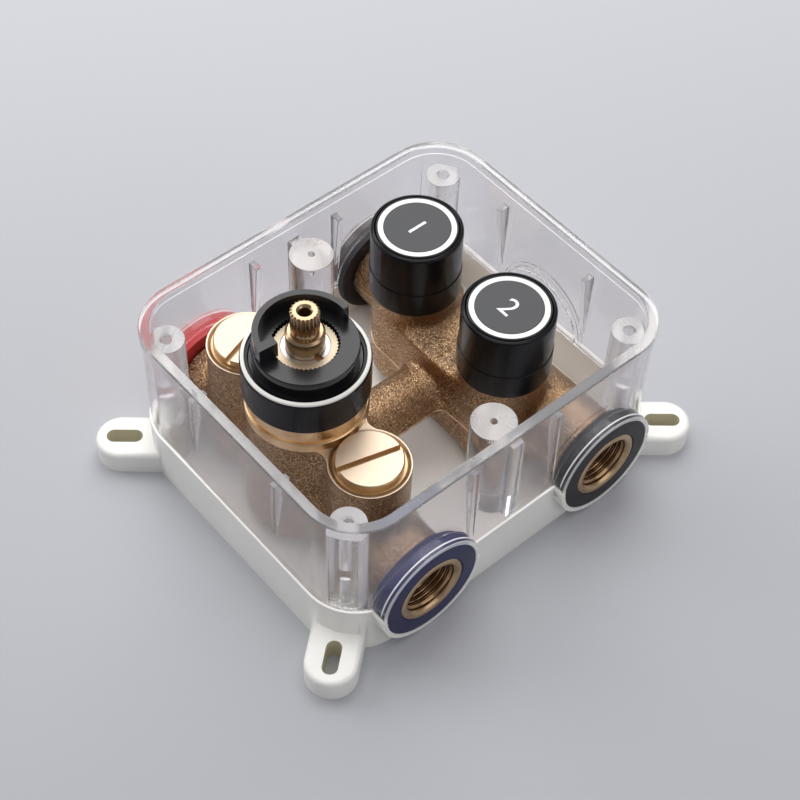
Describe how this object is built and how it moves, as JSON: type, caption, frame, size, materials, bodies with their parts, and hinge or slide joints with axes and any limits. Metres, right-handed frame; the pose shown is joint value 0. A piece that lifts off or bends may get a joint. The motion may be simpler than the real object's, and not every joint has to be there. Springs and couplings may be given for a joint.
{
  "type": "thermostatic mixing valve",
  "caption": "Concealed brass mixing valve with a splined temperature spindle and push-button outlets, in a clear open box on a white slotted tray.",
  "frame": {"origin": "under the middle of the box, on the plane of the tray's back", "axes": "+Z from the back towards the spindle, +Y from the inlet line towards the outlet manifold, +X from the hot side towards the cold side"},
  "size_m": [0.1384, 0.1762, 0.1042],
  "materials": {
    "clear_plastic": "clear gloss",
    "white_plastic": "moulded",
    "cast_brass": "sand cast with machined faces",
    "machined_brass": "turned",
    "pale_brass": "plated",
    "black_plastic": "satin",
    "black_rubber": "matt",
    "red_rubber": "matt",
    "blue_rubber": "matt",
    "white_trim": "gloss",
    "grey_face": "satin",
    "steel": "spring and clip steel",
    "pale_moulding": "moulded",
    "mesh_steel": "perforated"
  },
  "bodies": {
    "valve": {"clear_housing": "clear_plastic", "base_frame": "white_plastic", "valve_body": "cast_brass", "cartridge_nut": "machined_brass", "cartridge_sleeve": "black_plastic", "sleeve_ring": "white_trim", "cartridge_head": "black_plastic", "stop_ring": "black_plastic", "serrated_disc": "pale_brass", "spindle_neck": "machined_brass", "retaining_clip": "steel", "return_spring": "steel", "cartridge_case": "black_plastic", "cartridge_rings": "black_rubber", "housing_screws": "steel", "body_screws": "steel", "hot_port_gasket": "red_rubber", "hot_plug_cap": "machined_brass", "hot_plug_seal": "black_rubber", "hot_check_housing": "pale_moulding", "hot_check_spring": "steel", "hot_strainer": "mesh_steel", "cold_port_gasket": "blue_rubber", "cold_plug_cap": "machined_brass", "cold_plug_seal": "black_rubber", "cold_check_housing": "pale_moulding", "cold_check_spring": "steel", "cold_strainer": "mesh_steel", "left_outlet_gasket": "black_rubber", "left_button_collar": "black_plastic", "left_button_shell": "black_plastic", "left_button_spring": "steel", "left_diverter_case": "machined_brass", "left_diverter_ring": "black_rubber", "right_outlet_gasket": "black_rubber", "right_button_collar": "black_plastic", "right_button_shell": "black_plastic", "right_button_spring": "steel", "right_diverter_case": "machined_brass", "right_diverter_ring": "black_rubber"},
    "temperature_spindle_body": {"temperature_spindle": "machined_brass"},
    "regulator_body": {"drive_nut": "machined_brass", "overload_spring": "steel", "wax_element": "machined_brass", "mixing_piston": "pale_moulding"},
    "left_button_body": {"left_button_cap": "black_plastic", "left_button_ring": "white_trim", "left_button_face": "grey_face", "left_diverter_stem": "machined_brass", "left_diverter_seal": "black_rubber"},
    "right_button_body": {"right_button_cap": "black_plastic", "right_button_ring": "white_trim", "right_button_face": "grey_face", "right_diverter_stem": "machined_brass", "right_diverter_seal": "black_rubber"},
    "hot_check_body": {"hot_check_poppet": "pale_moulding"},
    "cold_check_body": {"cold_check_poppet": "pale_moulding"}
  },
  "joints": [
    {"name": "temperature_turn", "type": "hinge", "parent": "valve", "child": "temperature_spindle_body", "pos_m": [0, -0.0404, 0.1], "axis": [0, 0, 1], "range_deg": [-78, 78]},
    {"name": "regulator_slide", "type": "slide", "parent": "valve", "child": "regulator_body", "axis": [0, 0, 1], "range_m": [-0.00069, 0.00069], "deforming": ["return_spring"]},
    {"name": "left_button_press", "type": "slide", "parent": "valve", "child": "left_button_body", "axis": [0, 0, -1], "range_m": [0, 0.0035], "stiffness_N_per_m": 900, "springref_m": -0.004, "deforming": ["left_button_spring"]},
    {"name": "right_button_press", "type": "slide", "parent": "valve", "child": "right_button_body", "axis": [0, 0, -1], "range_m": [0, 0.0035], "stiffness_N_per_m": 900, "springref_m": -0.004, "deforming": ["right_button_spring"]},
    {"name": "hot_check_lift", "type": "slide", "parent": "valve", "child": "hot_check_body", "axis": [0, 0, 1], "range_m": [0, 0.0028], "stiffness_N_per_m": 60, "springref_m": -0.003, "deforming": ["hot_check_spring"]},
    {"name": "cold_check_lift", "type": "slide", "parent": "valve", "child": "cold_check_body", "axis": [0, 0, 1], "range_m": [0, 0.0028], "stiffness_N_per_m": 60, "springref_m": -0.003, "deforming": ["cold_check_spring"]}
  ],
  "couplings": [
    {"joint": "temperature_turn", "follows": "regulator_slide", "rad_per_m": -1963.5}
  ]
}
